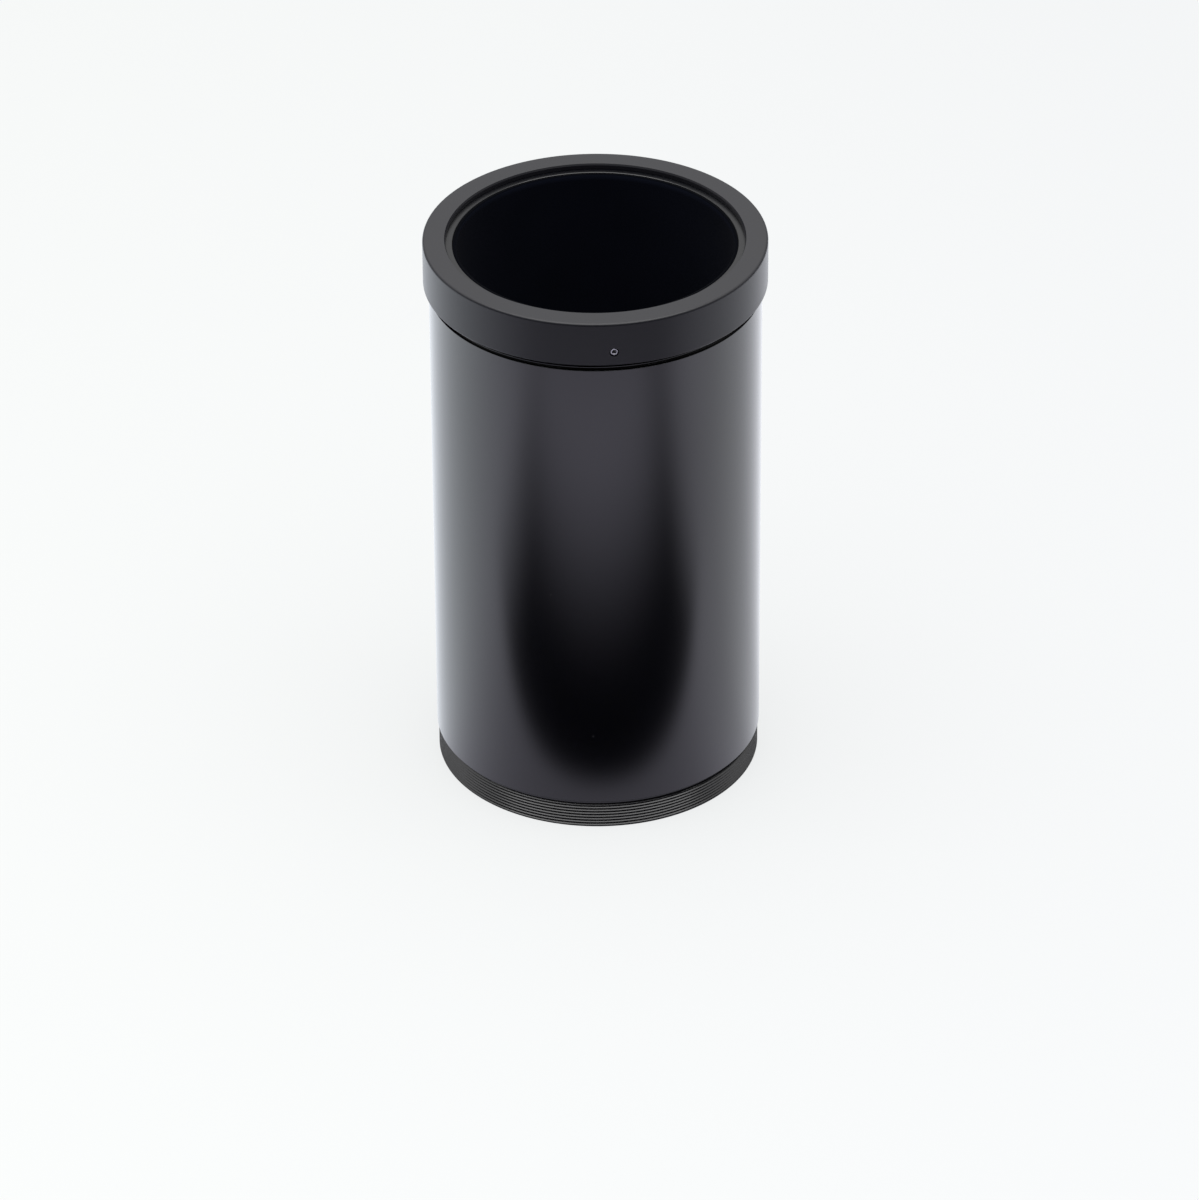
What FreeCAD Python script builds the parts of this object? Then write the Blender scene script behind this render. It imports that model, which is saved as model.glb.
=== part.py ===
"""Draw tube of a telescope focuser: a turned aluminium tube with a fine male thread at both ends.

A collar is screwed on the upper thread and locked by three grub screws. The bore is lined with flocked paper.
The tube stands on its foot thread. Z is the tube's axis, the collar is at the top, and the front is towards -Y.
"""

import FreeCAD, Part
import math
import os

from FreeCAD import Vector

# Tube, in millimetres
TUBE_OUTSIDE = 72.5
TUBE_WALL = 5.25
FOOT_THREAD = 6.7  # from the foot to the lower shoulder
BARREL = 111.0  # the smooth outside, from shoulder to shoulder
NECK_THREAD = 11.0  # from the upper shoulder to the tube's end face
THREAD_STEP = 0.33  # radial, from the barrel down to the crests of the M72 x 0.75 threads
FOOT_CHAMFER = 0.1
NECK_CHAMFER = 0.35
RELIEF_DEPTH = 0.45  # of the run-out grooves, below the crests
FOOT_RELIEF = 0.75  # width of the run-out groove at the lower shoulder
NECK_RELIEF = 0.35
EDGE_BREAK = 0.2  # the small chamfer on each turned edge

# Collar
COLLAR_STAND = 1.25  # radial, from the barrel out to the collar's side
COLLAR_GAP = 2.0  # from the upper shoulder to the collar's lower edge
COLLAR_LIP = 1.3  # thickness of the inward lip that seats on the tube's end face
SHELF = 1.5  # radial width of that end face that shows inside the lip
COLLAR_CHAMFER = 0.4  # on the upper outer edge
MOUTH_CHAMFER = 0.3
LEAD_IN = 0.5  # chamfer at the lower end of the collar's thread
THREAD_PLAY = 0.05  # radial, between the male thread's crests and the collar

# Grub screws
SCREW_COUNT = 3
SCREW_THREAD = 2.0
SCREW_RECESS = 0.3  # of the outer end, below the collar's side
SPOT_DEPTH = 0.72  # of the flat seats in the tube, below the crests
SCREW_RISE = 3.2  # from the collar's lower edge to the screws' axes
SCREW_TURN = 6.0  # degrees, from the front towards +X
SCREW_PLAY = 0.02  # radial, between a screw and its hole
SCREW_FACE = 1.5  # diameter of the flat on the outer end
SCREW_POINT = 1.0  # diameter of the flat point
SOCKET_FLATS = 0.9
SOCKET_DEPTH = 0.9
DRILL_ANGLE = 118.0

# Flocked lining
LINING_THICKNESS = 0.7
GLUE_LINE = 0.05
SEAM_GAP = 0.4

# Radii and levels that follow from the sizes above
barrel = TUBE_OUTSIDE / 2
bore = barrel - TUBE_WALL
crest = barrel - THREAD_STEP
relief = crest - RELIEF_DEPTH
collar_side = barrel + COLLAR_STAND
screw_seat = crest - SPOT_DEPTH
screw_length = collar_side - SCREW_RECESS - screw_seat
shoulder_low = FOOT_THREAD
shoulder_high = shoulder_low + BARREL
tube_end = shoulder_high + NECK_THREAD
collar_low = shoulder_high + COLLAR_GAP
collar_top = tube_end + COLLAR_LIP
screw_level = collar_low + SCREW_RISE

UP = Vector(0, 0, 1)


def turned(outline):
    """A full turn of a closed outline of (radius, level) points about the axis."""
    corners = [Vector(radius, 0, level) for radius, level in outline]
    face = Part.Face(Part.makePolygon(corners + corners[:1]))
    return face.revolve(Vector(0, 0, 0), UP, 360)


def outward(radius, angle, level):
    """A point at a radius and an angle in degrees, counted from the front towards +X."""
    turn = math.radians(angle - 90)
    return Vector(radius * math.cos(turn), radius * math.sin(turn), level)


def screw_angles():
    """The places of the grub screws round the collar, in degrees."""
    return [SCREW_TURN + 360 / SCREW_COUNT * i for i in range(SCREW_COUNT)]


def drilled(body):
    """The body with a round hole for each grub screw, from its flat seat in the tube outwards."""
    for angle in screw_angles():
        seat = outward(screw_seat, angle, screw_level)
        drill = Part.makeCylinder(SCREW_THREAD / 2 + SCREW_PLAY, collar_side, seat, outward(1, angle, 0))
        body = body.cut(drill)
    return body


def tube():
    """Turned from thick tube: threads with run-out grooves at both ends, and flat seats for the grub screws."""
    return drilled(turned([
        (bore + EDGE_BREAK, 0),
        (crest - FOOT_CHAMFER, 0),
        (crest, FOOT_CHAMFER),
        (crest, shoulder_low - FOOT_RELIEF - RELIEF_DEPTH / 2),
        (relief, shoulder_low - FOOT_RELIEF),
        (relief, shoulder_low),
        (barrel - EDGE_BREAK, shoulder_low),
        (barrel, shoulder_low + EDGE_BREAK),
        (barrel, shoulder_high - EDGE_BREAK),
        (barrel - EDGE_BREAK, shoulder_high),
        (relief, shoulder_high),
        (relief, shoulder_high + NECK_RELIEF),
        (crest, shoulder_high + NECK_RELIEF + RELIEF_DEPTH / 2),
        (crest, tube_end - NECK_CHAMFER),
        (crest - NECK_CHAMFER, tube_end),
        (bore + EDGE_BREAK, tube_end),
        (bore, tube_end - EDGE_BREAK),
        (bore, EDGE_BREAK),
    ]))


def collar():
    """A turned ring whose inward lip seats on the tube's end face, drilled and tapped for the grub screws."""
    inside = crest + THREAD_PLAY
    mouth = bore + SHELF
    return drilled(turned([
        (inside + LEAD_IN, collar_low),
        (collar_side - EDGE_BREAK, collar_low),
        (collar_side, collar_low + EDGE_BREAK),
        (collar_side, collar_top - COLLAR_CHAMFER),
        (collar_side - COLLAR_CHAMFER, collar_top),
        (mouth + MOUTH_CHAMFER, collar_top),
        (mouth, collar_top - MOUTH_CHAMFER),
        (mouth, tube_end),
        (inside, tube_end),
        (inside, collar_low + LEAD_IN),
    ]))


def set_screw(angle):
    """A grub screw with a flat point and a hexagon socket, turned along +Z first and then laid on its axis."""
    rim = SCREW_THREAD / 2
    face = SCREW_FACE / 2
    point = SCREW_POINT / 2
    body = turned([
        (0, 0),
        (point, 0),
        (rim, rim - point),
        (rim, screw_length - (rim - face)),
        (face, screw_length),
        (0, screw_length),
    ])
    floor = screw_length - SOCKET_DEPTH
    drill = SOCKET_FLATS / 2
    corner = Vector(drill / math.cos(math.pi / 6), 0, floor)
    hexagon = [FreeCAD.Rotation(UP, 60 * k).multVec(corner) for k in range(7)]
    socket = Part.Face(Part.makePolygon(hexagon)).extrude(UP * screw_length)
    tip = drill / math.tan(math.radians(DRILL_ANGLE / 2))
    cone = Part.makeCone(0, drill, tip, Vector(0, 0, floor - tip), UP)
    body = body.cut(socket).cut(cone)
    lay = FreeCAD.Rotation(UP, outward(1, angle, 0))
    body.Placement = FreeCAD.Placement(outward(screw_seat, angle, screw_level), lay)
    return body


def flock_lining():
    """Flocked paper rolled into the bore and glued, flush with the edge breaks. Its ends nearly meet at the front."""
    outside = bore - GLUE_LINE
    inside = outside - LINING_THICKNESS
    low, high = EDGE_BREAK, tube_end - EDGE_BREAK
    roll = turned([(inside, low), (outside, low), (outside, high), (inside, high)])
    seam = Part.makeBox(SEAM_GAP, outside, tube_end, Vector(-SEAM_GAP / 2, -outside, 0))
    return roll.cut(seam)


pieces = {"tube": tube(), "collar": collar(), "flock_lining": flock_lining()}
for number, angle in enumerate(screw_angles(), 1):
    pieces[f"set_screw_{number}"] = set_screw(angle)

os.makedirs("parts", exist_ok=True)
for name, shape in pieces.items():
    shape.exportStep(f"parts/{name}.step")
    print(f"{name:16} solids {len(shape.Solids)}, volume {shape.Volume:.2f} mm3, valid {shape.isValid()}")
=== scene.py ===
"""Dresses a telescope focuser's draw tube: a black anodised tube, its collar, grub screws and flocked bore.

Objects are in metres, +Z up along the tube's axis, with the front towards -Y. Profiles are in millimetres.
"""

import math

import bmesh
import bpy
import numpy as np
from mathutils import Matrix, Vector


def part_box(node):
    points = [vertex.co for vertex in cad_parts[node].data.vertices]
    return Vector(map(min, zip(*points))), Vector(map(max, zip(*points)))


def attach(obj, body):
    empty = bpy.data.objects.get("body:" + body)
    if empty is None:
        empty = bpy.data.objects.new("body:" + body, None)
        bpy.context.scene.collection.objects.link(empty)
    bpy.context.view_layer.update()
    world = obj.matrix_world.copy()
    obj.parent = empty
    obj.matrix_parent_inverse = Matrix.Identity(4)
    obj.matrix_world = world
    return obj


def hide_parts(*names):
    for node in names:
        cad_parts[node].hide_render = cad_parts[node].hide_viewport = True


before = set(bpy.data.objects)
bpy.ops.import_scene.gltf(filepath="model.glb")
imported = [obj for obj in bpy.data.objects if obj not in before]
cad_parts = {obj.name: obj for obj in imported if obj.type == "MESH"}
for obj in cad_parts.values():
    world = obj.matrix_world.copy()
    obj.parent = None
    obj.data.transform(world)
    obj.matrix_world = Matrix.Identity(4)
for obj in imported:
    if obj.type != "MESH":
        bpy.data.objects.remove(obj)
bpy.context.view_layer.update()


# The tube is cut from thick aluminium tube: a smooth turned barrel between two shoulders, each with a run-out
# groove, and a fine male thread outside each groove. It is bored through, drilled with flat seats for the
# collar's three screws, and anodised black.

MILLIMETRE = 0.001
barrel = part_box("tube")[1].x / MILLIMETRE
tube_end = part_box("tube")[1].z / MILLIMETRE
TUBE_WALL = 5.25
THREAD_STEP = 0.33  # radial, from the barrel down to the crests
FOOT_SHOULDER = 6.7
NECK_LENGTH = 11.0
GROOVE_DEPTH = 0.45
FOOT_GROOVE = 0.75
NECK_GROOVE = 0.35
FOOT_CHAMFER = 0.1
NECK_CHAMFER = 0.35
NECK_FLAT = 0.05  # taken off the crests of the neck's thread
FOOT_LAND = 0.3  # plain rim below the foot's thread
EDGE_BREAK = 0.2
END_BREAK = 0.1  # inside the upper end face
CORNER = 0.06  # radius left on each turned corner by the anodiser's pickling
END_CORNER = 0.03
END_FLAT = 1.0  # from the neck's crests to the first point on the upper end face
BORE_JOIN = 10  # level at which the bore's wall closes on itself
PITCH = 0.75
FOOT_START = 0.403  # level of one crest's middle at the front
NECK_START = 118.38
ROW_PHASES = np.array([0.02, 0.04, 0.06, 0.2, 0.35, 0.48, 0.57, 0.76, 0.94, 0.96, 0.98])  # of the mesh's rows
PHASES = [0, 0.02, 0.04, 0.48, 0.57, 0.96, 0.98, 1]
DROPS = [0, 0, 0.01, 0.59, 0.59, 0.01, 0, 0]  # below the crest, in pitches
SCREW_COUNT = 3
SCREW_TURN = math.radians(6)
SCREW_RISE = 3.2  # from the collar's lower edge to the screws' axes
SCREW_HOLE = 1.02
SPOT_DEPTH = 0.72  # of the flat seats in the tube, below the crests
DRILL_END = 40  # radius, outside the collar
COARSE = 6  # a screw or its hole takes every sixth column
SHARP = 35  # degrees
COLUMNS = 288  # of each mesh, round the full circle
SKIN = 0.05  # depth of a face that has a finish of its own
bore = barrel - TUBE_WALL
crest = barrel - THREAD_STEP
groove = crest - GROOVE_DEPTH
neck_shoulder = tube_end - NECK_LENGTH
screw_seat = crest - SPOT_DEPTH
screw_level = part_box("collar")[0].z / MILLIMETRE + SCREW_RISE
screw_azimuths = SCREW_TURN + 2 * np.pi / SCREW_COUNT * np.arange(SCREW_COUNT)

around = np.linspace(0, 2 * np.pi, COLUMNS + 1)  # azimuths from the front towards +X
turn_share = around / (2 * np.pi)


def softened(outline, rounding, guard=0.03, steps=4):
    """An outline of (radius, level) corners, with each inner corner replaced by an arc tangent to both sides.

    The arcs' radii are given as one number or as one for each inner corner. An arc's points turn evenly
    from one tangent point to the other. One more point on each side, a guard's length further off, keeps
    the flats' shading flat.
    """
    corners = np.array(outline, float)
    points = [corners[:1]]
    share = np.linspace(0, 1, steps + 1)[:, None]
    radii = np.broadcast_to(rounding, len(corners) - 2)
    for radius, before, corner, after in zip(radii, corners, corners[1:], corners[2:]):
        back = (before - corner) / np.linalg.norm(before - corner)
        on = (after - corner) / np.linalg.norm(after - corner)
        half = math.acos(back @ on) / 2
        touch = radius / math.tan(half)
        middle = corner + (back + on) / np.linalg.norm(back + on) * radius / math.sin(half)
        turn = math.pi - 2 * half
        start, end = corner + back * touch - middle, corner + on * touch - middle
        arc = middle + (np.sin((1 - share) * turn) * start + np.sin(share * turn) * end) / math.sin(turn)
        points += [corner + back * (touch + guard), arc, corner + on * (touch + guard)]
    points.append(corners[-1:])
    return np.vstack(points)


def rings(outline):
    """An outline's points as rows (radius, level), each the same at every azimuth."""
    radius, level = np.array(outline, float).T[:, :, None] * np.ones(len(around))
    return radius, level


def thread_profile(phase, pitch):
    """Drop below the crest at a phase, which counts pitches up from a crest's middle.

    Straight lines run between the profile's corners: a long flank faces up and a shorter one faces down.
    """
    return pitch * np.interp(phase % 1, PHASES, DROPS)


def thread(crest, pitch, low, high, start, ended):
    """Rows (radius, level) of a right-handed male thread between two levels.

    A row follows the helix: its level is start + pitch * (whole turns + its phase + azimuth / full circle),
    pressed onto the nearer end where it runs past one. The radius is the crest's less the profile's drop at
    that place, changed by ended(radius, level) near the ends, where the thread runs out.
    """
    turns = np.arange(math.floor((low - start) / pitch) - 2, math.ceil((high - start) / pitch) + 1)
    rows = (turns[:, None] + ROW_PHASES).ravel()
    level = np.clip(start + pitch * (rows[:, None] + turn_share), low, high)
    drop = thread_profile((level - start) / pitch - turn_share, pitch)
    return ended(crest - drop, level), level


def revolved(*parts):
    """Points of rows laid one after the other: x = radius sin a, y = -radius cos a, z = level."""
    radius, level = (np.concatenate(rows) for rows in zip(*parts))
    return np.stack([radius * np.sin(around), -radius * np.cos(around), level], axis=-1)


def made(name, points):
    """An object whose mesh is a grid of points in millimetres, welded, and smooth but for sharp corners.

    Faces look outwards where the rows climb the outside and the columns run from the front towards +X.
    """
    rows, columns = points.shape[:2]
    corner = np.arange(rows * columns).reshape(rows, columns)
    faces = np.stack([corner[:-1, :-1], corner[:-1, 1:], corner[1:, 1:], corner[1:, :-1]], axis=-1)
    mesh = bpy.data.meshes.new(name)
    mesh.from_pydata((points.reshape(-1, 3) * MILLIMETRE).tolist(), [], faces.reshape(-1, 4).tolist())
    welded = bmesh.new()
    welded.from_mesh(mesh)
    bmesh.ops.remove_doubles(welded, verts=welded.verts, dist=1e-7)
    welded.to_mesh(mesh)
    welded.free()
    mesh.shade_smooth()
    mesh.set_sharp_from_angle(angle=math.radians(SHARP))
    piece = bpy.data.objects.new(name, mesh)
    bpy.context.scene.collection.objects.link(piece)
    return piece


def foot_ends(radius, level):
    """The thread runs into the rim's upper side, at 60 degrees to the axis, and into the run-out's flank."""
    rise = crest - math.sqrt(3) * (level - FOOT_LAND)
    return np.minimum(np.maximum(radius, rise), groove + 2 * (FOOT_SHOULDER - FOOT_GROOVE - level))


def neck_ends(radius, level):
    """Crests cut flat. The thread runs into the groove's flank at the shoulder and into the end's chamfer."""
    cone = crest - NECK_CHAMFER + tube_end - level
    flank = groove + 2 * (level - neck_shoulder - NECK_GROOVE)
    return np.minimum.reduce([radius, crest - NECK_FLAT + 0 * radius, flank, cone])


foot_edge = softened([
    (bore, BORE_JOIN),
    (bore, EDGE_BREAK),
    (bore + EDGE_BREAK, 0),
    (crest - FOOT_CHAMFER, 0),
    (crest, FOOT_CHAMFER),
    (crest, FOOT_LAND),
], CORNER, guard=0.02)
shoulders = softened([
    (groove, FOOT_SHOULDER - FOOT_GROOVE),
    (groove, FOOT_SHOULDER),
    (barrel - EDGE_BREAK, FOOT_SHOULDER),
    (barrel, FOOT_SHOULDER + EDGE_BREAK),
    (barrel, neck_shoulder),
    (groove, neck_shoulder),
    (groove, neck_shoulder + NECK_GROOVE),
], CORNER, guard=0.02)
end_edge = softened([
    (crest - END_FLAT, tube_end),
    (bore + END_BREAK, tube_end),
    (bore, tube_end - END_BREAK),
    (bore, BORE_JOIN),
], END_CORNER)
tube = made("tube_finish", revolved(
    rings(foot_edge),
    thread(crest, PITCH, FOOT_LAND, FOOT_SHOULDER - FOOT_GROOVE, FOOT_START, foot_ends),
    rings(shoulders),
    thread(crest, PITCH, neck_shoulder + NECK_GROOVE, tube_end, NECK_START, neck_ends),
    rings(end_edge),
))


class Value:
    """An output socket. Arithmetic on it adds Math nodes to the finish that it belongs to."""

    def __init__(self, finish, socket):
        self.finish, self.socket = finish, socket

    def math(self, operation, *values):
        inputs = dict(enumerate(values))
        return self.finish.node("Math", {"operation": operation}, inputs)

    def __add__(self, other):
        return self.math("ADD", self, other)

    def __sub__(self, other):
        return self.math("SUBTRACT", self, other)

    def __rsub__(self, other):
        return self.math("SUBTRACT", other, self)

    def __mul__(self, other):
        return self.math("MULTIPLY", self, other)

    def __truediv__(self, other):
        return self.math("DIVIDE", self, other)

    def __pow__(self, other):
        return self.math("POWER", self, other)

    def __lt__(self, other):
        return self.math("LESS_THAN", self, other)

    def __gt__(self, other):
        return self.math("GREATER_THAN", self, other)

    __radd__, __rmul__ = __add__, __mul__

    def ramp(self, low, high, kind="SMOOTHSTEP"):
        """0 below low, 1 above high and an even or a smooth step between them."""
        inputs = {"Value": self, "From Min": low, "From Max": high}
        return self.finish.node("MapRange", {"interpolation_type": kind}, inputs)


class Finish:
    """A node tree as it is built up."""

    def __init__(self, tree):
        self.tree = tree
        tree.nodes.clear()

    def node(self, kind, settings, inputs, output=0):
        """Adds a node with its settings, gives each socket its value or link, and returns an output."""
        node = self.tree.nodes.new("ShaderNode" + kind)
        for name, value in settings.items():
            setattr(node, name, value)
        for name, value in inputs.items():
            if isinstance(value, Value):
                self.tree.links.new(value.socket, node.inputs[name])
            else:
                node.inputs[name].default_value = value
        return Value(self, node.outputs[output]) if len(node.outputs) else None

    def mix(self, factor, first, second):
        """A colour between two colours."""
        return self.node("Mix", {"data_type": "RGBA"}, {0: factor, 6: first, 7: second}, 2)

    def place(self, *scale):
        """The object's own coordinates in metres, scaled by each axis."""
        coordinates = self.node("TexCoord", {}, {}, "Object")
        return self.node("Mapping", {}, {"Vector": coordinates, "Scale": scale})

    def noise(self, place, scale=1, detail=2):
        return self.node("TexNoise", {}, {"Vector": place, "Scale": scale, "Detail": detail})

    def specks(self, cells, size, share):
        """1 on small round specks: within size of the middle of a cell, in as large a share of the cells."""
        place = self.place(cells, cells, cells)
        near = self.node("TexVoronoi", {}, {"Vector": place, "Scale": 1}, "Distance") < size
        return near * (self.node("TexWhiteNoise", {}, {"Vector": self.node(
            "TexVoronoi", {}, {"Vector": place, "Scale": 1}, "Position")}, "Value") < share)


def painted(name):
    """A new material's tree, and the material."""
    material = bpy.data.materials.new(name)
    material.use_nodes = True
    return Finish(material.node_tree), material


def laid(points, azimuth, level, radius=0):
    """Points of a thing turned about its z, laid with z outwards at an azimuth, its foot at a radius."""
    out = np.array([math.sin(azimuth), -math.cos(azimuth), 0])
    side = np.array([math.cos(azimuth), math.sin(azimuth), 0])
    up = np.array([0, 0, 1])
    return points @ np.array([side, up, out]) + out * radius + up * level


def drilled(piece):
    """Cuts the screws' holes in a piece, from their seats in the tube outwards."""
    outline = [(0, screw_seat), (SCREW_HOLE, screw_seat), (SCREW_HOLE, DRILL_END), (0, DRILL_END)]
    drill_points = revolved(rings(outline))[:, ::COARSE]
    drills = [made("drill", laid(drill_points, azimuth, screw_level)) for azimuth in screw_azimuths]
    for drill in drills:
        cut = piece.modifiers.new(drill.name, "BOOLEAN")
        cut.operation = "DIFFERENCE"
        cut.object = drill
    bpy.context.view_layer.update()
    cut_piece = piece.evaluated_get(bpy.context.evaluated_depsgraph_get())
    mesh = bpy.data.meshes.new_from_object(cut_piece)
    piece.modifiers.clear()
    piece.data = mesh
    mesh.set_sharp_from_angle(angle=math.radians(SHARP))
    for drill in drills:
        bpy.data.objects.remove(drill)
    return piece


def tube_anodise():
    """Black anodise over turned metal, smooth outside and duller on the upper end face.

    The foot's thread, cut with a point, is half as dull. All have fine rings from the tool, a slight
    cloudiness and a little dust.
    """
    finish, material = painted("tube_anodise")
    rings_cut = finish.noise(finish.place(60, 60, 7000), detail=1)
    cloud = finish.noise(finish.place(60, 60, 40))
    dust = finish.specks(300, 0.05, 0.06)
    level = finish.node("SeparateXYZ", {}, {"Vector": finish.place(1, 1, 1)}, "Z")
    colour = finish.mix(dust * 0.5, (0.0001, 0.0002, 0.0012, 1), (0.03, 0.03, 0.033, 1))
    bump = finish.node("Bump", {}, {"Height": rings_cut, "Strength": 0.15, "Distance": 0.00001})
    turned = finish.node("BsdfPrincipled", {}, {
        "Base Color": colour,
        "Roughness": 0.21 + 0.02 * cloud + 0.1 * dust,
        "IOR": 1.6,
        "Normal": bump,
    })
    faced = finish.node("BsdfPrincipled", {}, {
        "Base Color": colour,
        "Roughness": 0.32 + 0.02 * cloud,
        "IOR": 1.4,
        "Normal": bump,
    })
    end_face = level > (tube_end - SKIN) * MILLIMETRE
    foot_thread = level < (FOOT_SHOULDER - FOOT_GROOVE) * MILLIMETRE
    surface = finish.node("MixShader", {}, {0: end_face + 0.5 * foot_thread, 1: turned, 2: faced})
    finish.node("OutputMaterial", {}, {"Surface": surface})
    return material


def finished(piece, material, slot, *nodes):
    """The piece with its material, riding on the part and standing for its nodes."""
    piece.data.materials.clear()
    piece.data.materials.append(material)
    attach(piece, "root")
    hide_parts(*nodes)


finished(drilled(tube), tube_anodise(), "tube_anodise", "tube")


# The collar is a ring turned and tapped to screw onto the neck thread until its inward lip seats on the
# tube's end face. It is bead blasted and anodised matte black, and three radial holes are tapped for grub
# screws.

collar_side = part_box("collar")[1].x / MILLIMETRE
collar_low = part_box("collar")[0].z / MILLIMETRE
collar_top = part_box("collar")[1].z / MILLIMETRE
SHELF = 1.5
MOUTH_BEVEL = 0.22
MOUTH_FALL = 0.4
MOUTH_CORNER = 0.05
TOP_ROUNDING = 0.65
LOW_ROUNDING = 0.25
LEAD_IN = 0.5
THREAD_PLAY = 0.05
BLASTED_CORNER = 0.1
RIDGE = 0.32  # height of the female thread, from its root
mouth = bore + SHELF
tapped = crest + THREAD_PLAY


def tapped_thread(low, high):
    """Rows, from the top down, of the female thread.

    It is the male one's profile let out by the play, with its ridges cut flat and a chamfer at its foot.
    """
    _, level = thread(crest, PITCH, low, high, NECK_START, lambda radius, level: radius)
    drop = thread_profile((level - NECK_START) / PITCH - turn_share, PITCH)
    radius = np.maximum(tapped - drop, tapped - RIDGE)
    lead = tapped + LEAD_IN - (level - collar_low)
    return np.maximum(radius, lead)[::-1], level[::-1]


collar = made("collar_finish", revolved(
    rings(softened([
        (tapped + LEAD_IN, collar_low),
        (collar_side, collar_low),
        (collar_side, collar_top),
        (mouth + MOUTH_BEVEL, collar_top),
        (mouth, collar_top - MOUTH_FALL),
        (mouth, tube_end),
        (tapped, tube_end),
    ], [LOW_ROUNDING, TOP_ROUNDING, MOUTH_CORNER, MOUTH_CORNER, BLASTED_CORNER], steps=6)),
    tapped_thread(collar_low, tube_end),
))


def collar_anodise():
    """Matte black anodise over blasted metal: a fine even grain, with a little dust."""
    finish, material = painted("collar_anodise")
    grain = finish.noise(finish.place(1, 1, 1), scale=5000, detail=2)
    cloud = finish.noise(finish.place(1, 1, 1), scale=70)
    dust = finish.specks(300, 0.05, 0.05)
    colour = finish.mix(dust * 0.5, (0.0060, 0.0060, 0.0086, 1), (0.03, 0.03, 0.033, 1))
    bump = finish.node("Bump", {}, {"Height": grain, "Strength": 0.35, "Distance": 0.00002})
    surface = finish.node("BsdfPrincipled", {}, {
        "Base Color": colour,
        "Roughness": 0.35 + 0.03 * cloud,
        "IOR": 1.4,
        "Normal": bump,
    })
    finish.node("OutputMaterial", {}, {"Surface": surface})
    return material


finished(drilled(collar), collar_anodise(), "collar_anodise", "collar")


# Three grub screws, M2 with a flat point and a hexagon socket, lock the collar on its thread. They are turned
# from steel, blackened with oxide, and sit a little below the collar's side.

SCREW_RIM = 1.0
SCREW_PITCH = 0.4
SCREW_POINT = 0.5
SCREW_FACE = 0.75
SCREW_RECESS = 0.3
SOCKET_FLATS = 0.9
SOCKET_DEPTH = 0.9
DRILL_ANGLE = math.radians(118)
SOCKET_BREAK = 0.03
screw_length = collar_side - SCREW_RECESS - screw_seat


def screw_ends(radius, level):
    """The thread ends in the cone of the flat point and in the chamfer at the outer end."""
    return np.minimum(radius, np.minimum(SCREW_POINT + level, SCREW_FACE + screw_length - level))


def hexagon():
    """Rows of the socket: its rim in the end face, its wall, and the drill's cone below.

    The radius of a hexagon is half its width over the cosine of the angle from the nearest flat's middle.
    """
    flat = SOCKET_FLATS / 2
    bearing = (around + np.pi / 6) % (np.pi / 3) - np.pi / 6
    wall = flat / np.cos(bearing)
    floor = screw_length - SOCKET_DEPTH
    tip = floor - flat / math.tan(DRILL_ANGLE / 2)
    radius = [wall + SOCKET_BREAK, wall, wall, np.full_like(wall, flat), 0 * wall]
    level = [screw_length, screw_length - SOCKET_BREAK, floor, floor, tip]
    return np.array(radius), np.array(level)[:, None] * np.ones(len(around))


def blackened_steel():
    """Black oxide on turned steel, worn a little brighter on high spots."""
    finish, material = painted("blackened_steel")
    wear = finish.noise(finish.place(1, 1, 1), scale=2500)
    surface = finish.node("BsdfPrincipled", {}, {
        "Base Color": finish.mix(wear.ramp(0.4, 0.7), (0.25, 0.25, 0.26, 1), (0.5, 0.5, 0.52, 1)),
        "Metallic": 1.0,
        "Roughness": 0.2 + 0.1 * wear,
    })
    finish.node("OutputMaterial", {}, {"Surface": surface})
    return material


screw_rows = revolved(
    rings([(0, 0), (SCREW_POINT, 0)]),
    thread(SCREW_RIM, SCREW_PITCH, 0, screw_length, 0, screw_ends),
    rings([(SCREW_FACE, screw_length)]),
    hexagon(),
)
steel = blackened_steel()
for number, azimuth in enumerate(screw_azimuths, 1):
    screw = made(f"grub_screw_{number}", laid(screw_rows[:, ::COARSE], azimuth, screw_level, screw_seat))
    finished(screw, steel, "blackened_steel", f"set_screw_{number}")


# The bore is lined with flocked paper, rolled in and glued, to stop stray light. Its two ends nearly meet at
# the front. The pile is a deep blue black that scatters light at a grazing look.

lining_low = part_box("flock_lining")[0].z / MILLIMETRE
lining_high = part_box("flock_lining")[1].z / MILLIMETRE
lining_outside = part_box("flock_lining")[1].x / MILLIMETRE
LINING_THICKNESS = 0.7
SEAM_GAP = 0.4
STAND_OFF = 0.12  # of the glued ends, at most
SEAM_REACH = 0.09  # angle over which the stand-off dies away
ROLL_POINTS = (97, 241)  # up the roll and round it


def rolled():
    """The roll's outside as a grid: level by azimuth, from one side of the seam round to the other.

    Its glued ends stand off the bore by a hair: two sine waves along the seam, which die away round the
    bore as exp(-(angle from the seam / reach) squared).
    """
    half_gap = SEAM_GAP / 2 / lining_outside
    azimuth = np.linspace(half_gap, 2 * np.pi - half_gap, ROLL_POINTS[1])
    level = np.linspace(lining_low, lining_high, ROLL_POINTS[0])[:, None]
    seam = np.exp(-(np.minimum(azimuth, 2 * np.pi - azimuth) / SEAM_REACH) ** 2)
    wave = 0.5 + 0.3 * np.sin(level / 9) + 0.2 * np.sin(level / 3.7 + 1)
    radius = lining_outside - STAND_OFF * seam * wave
    x, y = radius * np.sin(azimuth), -radius * np.cos(azimuth)
    return np.stack([x, y, level + 0 * azimuth], axis=-1)


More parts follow.
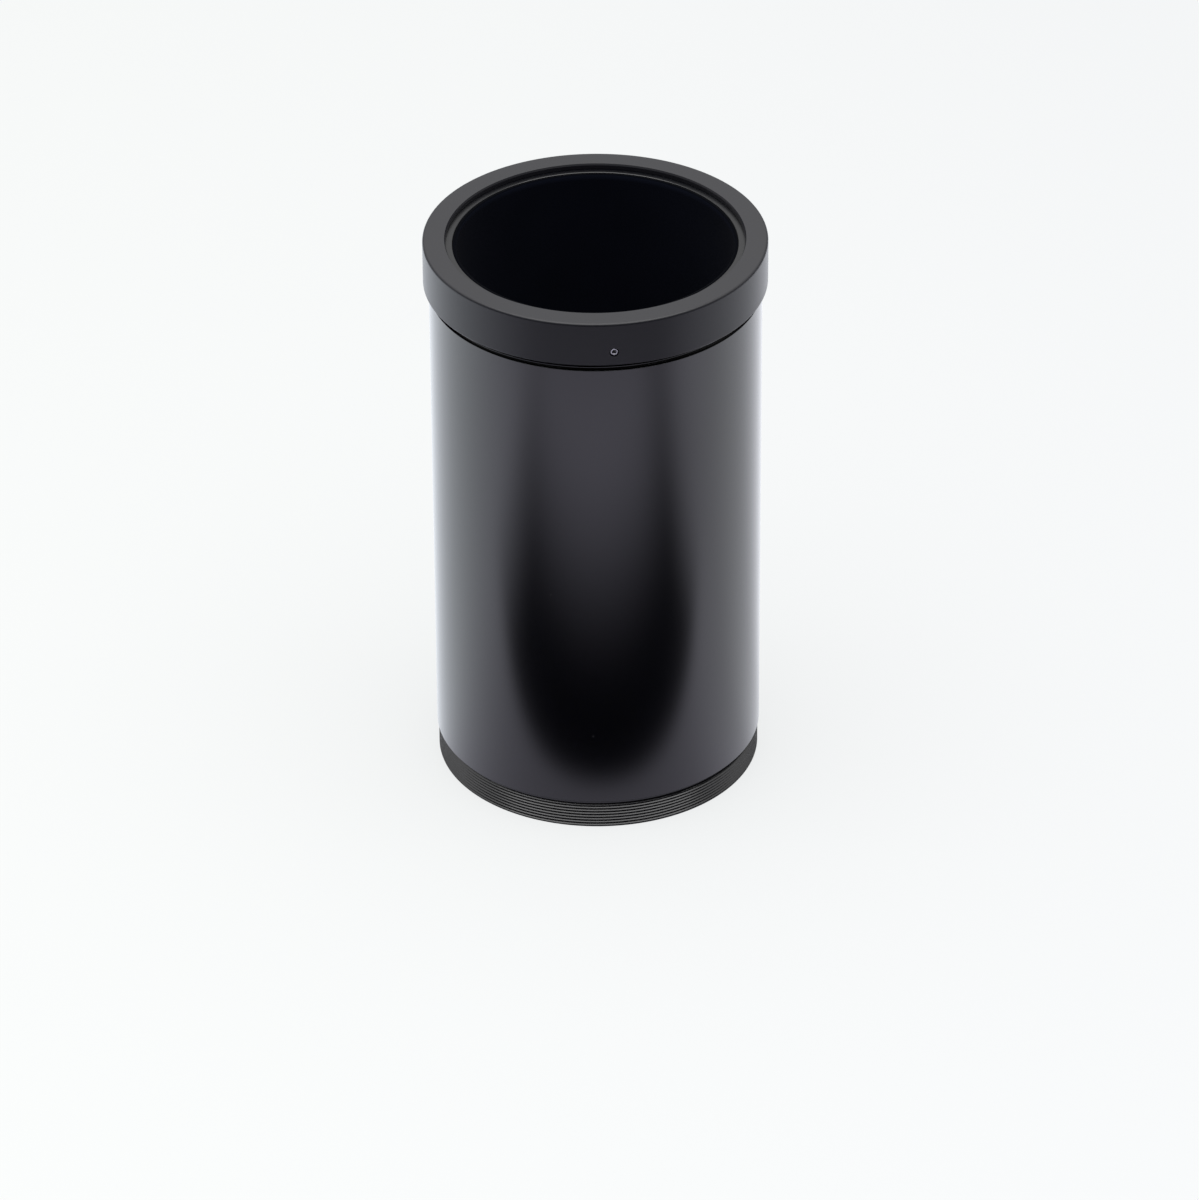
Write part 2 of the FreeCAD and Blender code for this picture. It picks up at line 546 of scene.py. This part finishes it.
def flock():
    """Short upright pile: a deep blue black that takes a soft sheen, with uneven patches and stray lint."""
    finish, material = painted("flock")
    pile = finish.noise(finish.place(1, 1, 1), scale=6000, detail=3)
    patch = finish.noise(finish.place(1, 1, 1), scale=60, detail=3)
    lint = finish.specks(170, 0.04, 0.08)
    dark = finish.mix(patch, (0.0018, 0.0023, 0.0046, 1), (0.0036, 0.0043, 0.0080, 1))
    level = finish.node("SeparateXYZ", {}, {"Vector": finish.place(1, 1, 1)}, "Z")
    # Painted shade: the pile's top edge is painted darker than the rest, against the light that falls on it
    # from above.
    dark = finish.mix(level > (lining_high - SKIN) * MILLIMETRE, dark, (0.0010, 0.0012, 0.0022, 1))
    bump = finish.node("Bump", {}, {"Height": pile, "Strength": 0.8, "Distance": 0.0001})
    surface = finish.node("BsdfPrincipled", {}, {
        "Base Color": finish.mix(lint * 0.6, dark, (0.05, 0.05, 0.055, 1)),
        "Roughness": 0.9,
        "Specular IOR Level": 0.0,
        "Sheen Weight": 0.008,
        "Sheen Roughness": 0.6,
        "Normal": bump,
    })
    finish.node("OutputMaterial", {}, {"Surface": surface})
    return material


lining = made("flocked_lining", rolled())
wall = lining.modifiers.new("paper and pile", "SOLIDIFY")
wall.thickness = LINING_THICKNESS * MILLIMETRE
wall.offset = -1
finished(lining, flock(), "flock", "flock_lining")


# The studio: a pale floor, a large softbox above its front, and walls that are bright behind the tube and
# dark before it. In gloss the floor is an emission that paints the light on it, with painted shade near the
# tube and a black patch in front, a painted reflection of a dark sheet that deepens the barrel's middle.

# FLOOR_LEFT and FLOOR_RIGHT paint the paper lighter on the left than on the right, as painted light.
FLOOR_LEFT = (0.929, 0.944, 0.939, 1)
FLOOR_RIGHT = (0.908, 0.921, 0.928, 1)
FLOOR_HALF = 8
FLOOR_TONE = 0.57  # the part of the light on the paper that comes back
FLOOR_SHADE = 0.22  # the share of the floor's look that is real shading
PAINTED_SHEET_LEFT = (-0.1325, -0.0447)  # the painted sheet reflection's soft edges, in metres
PAINTED_SHEET_RIGHT = (0.0566, 0.1234)
PAINTED_SHEET_FRONT = (-0.2076, -0.0958)
PAINTED_SHEET_BACK = (-0.0604, -0.0484)
LEFT_STRIP = (-0.139, -0.132, -0.124)  # the painted dim strips past the patch's ends: edge, middle, edge
RIGHT_STRIP = (0.085, 0.152, 0.219)
STRIPS_BACK = (-0.105, -0.0085)
TUBE_RING = (0.0362, 0.0374)  # the floor's gloss is painted dark under the tube, a painted contact shadow
WALL_FOOT = 0.28
WALL_RISE = 2.7
SOFTBOX_SIZE = (1.7, 1.0)
SOFTBOX_PLACE = (0, -0.42, 1.1)
SOFTBOX_RADIANCE = 2.9


def plane(name, low, high, level):
    """A flat rectangle, facing up."""
    (left, front), (right, back) = low, high
    corners = [(left, front, level), (right, front, level), (right, back, level), (left, back, level)]
    mesh = bpy.data.meshes.new(name)
    mesh.from_pydata(corners, [], [(0, 1, 2, 3)])
    piece = bpy.data.objects.new(name, mesh)
    bpy.context.scene.collection.objects.link(piece)
    return piece


def floor_paint():
    """Pale paper. The camera sees it near white with a faint shadow, its colour painted a little lighter on
    the left than on the right, as painted light.

    In gloss it is an emission that paints the light on the paper: it grows brighter from the front towards
    the sides and back, a little less on the right, and fades far off. In front it is dimmer close to the
    tube, a painted shade, and black under a slanted patch with soft edges, a painted reflection of a dark
    sheet lying there. A dim strip of painted shade runs forwards past each end of the patch, and right under
    the tube it is painted dark, a painted contact shadow.
    """
    finish, material = painted("studio_floor")
    place = finish.node("TexCoord", {}, {}, "Object")
    x, y = (finish.node("SeparateXYZ", {}, {"Vector": place}, axis) for axis in "XY")
    reach = (x * x + y * y) ** 0.5
    behind = y / reach
    # Painted light: the gloss glow stands for the lit paper, and it is painted dimmer close to the tube, a
    # painted shade.
    front = 0.67 + 0.54 * reach.ramp(0.06, 0.19) - 1.27 * reach.ramp(0.242, 0.297)
    glow = front + (1.65 - front) * behind.ramp(-1.1, 0.2) + 0.15 * behind.ramp(0.2, 1)
    # Painted light: a little less glow on the right.
    right = (x > 0) * behind.ramp(-0.6, -0.1) * (1 - behind.ramp(0.3, 1))
    # Painted shade: dim strips past the ends of the painted sheet reflection.
    left_strip, right_strip = (
        x.ramp(edge, middle) * (1 - x.ramp(middle, far_edge))
        for edge, middle, far_edge in (LEFT_STRIP, RIGHT_STRIP)
    )
    strips = (0.23 * left_strip + 0.27 * right_strip) * (1 - y.ramp(*STRIPS_BACK))
    # Painted reflection: black under a slanted patch in front, for a dark sheet lying there.
    across = (x - 0.38 * y).ramp(*PAINTED_SHEET_LEFT) * (1 - (x + 0.417 * y).ramp(*PAINTED_SHEET_RIGHT))
    painted_sheet_reflection = across * y.ramp(*PAINTED_SHEET_FRONT) * (1 - (y - 0.0255 * x).ramp(*PAINTED_SHEET_BACK))
    glow = glow * (1 - 0.2 * right) * (1 - strips) * (1 - painted_sheet_reflection) * (1 - 0.75 * reach.ramp(0.35, 1.1))
    # Painted contact shadow: the gloss glow is dark right under the tube.
    glow = glow * (0.1 + 0.9 * reach.ramp(*TUBE_RING))
    seen = finish.node("LightPath", {}, {}, "Is Camera Ray")
    gloss = finish.node("LightPath", {}, {}, "Is Glossy Ray")
    # The paper's colour is painted lighter on the left than on the right, as painted light.
    paper_and_painted_falloff = finish.mix(x.ramp(-0.14, 0.14, "LINEAR"), FLOOR_LEFT, FLOOR_RIGHT)
    lit = finish.node("VectorMath", {"operation": "SCALE"}, {"Vector": paper_and_painted_falloff, "Scale": FLOOR_TONE})
    shaded = finish.node("BsdfDiffuse", {}, {"Color": lit})
    pale = finish.node("Emission", {}, {"Color": paper_and_painted_falloff})
    back_tint = finish.mix(x.ramp(-0.05, 0.05), (0.935, 0.982, 1.05, 1), (0.96, 0.98, 1.045, 1))
    tint = finish.mix(behind.ramp(-1.1, 0.2), (0.975, 0.945, 1.13, 1), back_tint)
    mirrored = finish.node("Emission", {}, {"Color": tint, "Strength": glow})
    look = finish.node("MixShader", {}, {0: seen * (1 - FLOOR_SHADE), 1: shaded, 2: pale})
    look = finish.node("MixShader", {}, {0: gloss, 1: look, 2: mirrored})
    under = finish.node("NewGeometry", {}, {}, "Backfacing")
    clear = finish.node("BsdfTransparent", {}, {})
    look = finish.node("MixShader", {}, {0: under, 1: look, 2: clear})
    finish.node("OutputMaterial", {}, {"Surface": look})
    material.cycles.emission_sampling = "NONE"
    return material


floor = plane("studio_floor", (-FLOOR_HALF, -FLOOR_HALF), (FLOOR_HALF, FLOOR_HALF), 0)
floor.data.materials.append(floor_paint())

softbox = bpy.data.lights.new("softbox", "AREA")
softbox.shape = "RECTANGLE"
softbox.size, softbox.size_y = SOFTBOX_SIZE
softbox.energy = 4 * SOFTBOX_RADIANCE * SOFTBOX_SIZE[0] * SOFTBOX_SIZE[1]
softbox_object = bpy.data.objects.new("softbox", softbox)
softbox_object.location = SOFTBOX_PLACE
bpy.context.scene.collection.objects.link(softbox_object)

world = bpy.data.worlds.new("studio")
world.use_nodes = True
bpy.context.scene.world = world
room = Finish(world.node_tree)
direction = room.node("TexCoord", {}, {}, "Generated")
sideways, backwards, upwards = (room.node("SeparateXYZ", {}, {"Vector": direction}, axis) for axis in "XYZ")
walls = (WALL_FOOT + WALL_RISE * upwards.ramp(0, 0.9, "LINEAR") ** 1.2) * (1 - 0.12 * sideways)
walls = walls * (0.1 + 0.9 * backwards.ramp(-0.6, 0.3))
background = room.node("Background", {}, {"Strength": walls})
room.node("OutputWorld", {}, {"Surface": background})
world.cycles.sampling_method = "NONE"


# The camera looks down on the tube from the front.

CAMERA_ELEVATION = 0.5676
CAMERA_ROLL = -0.0061
CAMERA_DISTANCE = 1.61874
CAMERA_SENSOR = 36
CAMERA_LENS = 217.36
CAMERA_AIM = (0.000442, 0, 0.036736)

camera_data = bpy.data.cameras.new("camera")
camera_data.sensor_width = CAMERA_SENSOR
camera_data.lens = CAMERA_LENS
camera = bpy.data.objects.new("camera", camera_data)
bpy.context.scene.collection.objects.link(camera)
camera.matrix_world = (
    Matrix.Translation(CAMERA_AIM)
    @ Matrix.Rotation(math.pi / 2 - CAMERA_ELEVATION, 4, "X")
    @ Matrix.Rotation(CAMERA_ROLL, 4, "Z")
    @ Matrix.Translation((0, 0, CAMERA_DISTANCE))
)
bpy.context.scene.camera = camera
bpy.context.scene.view_settings.view_transform = "Standard"
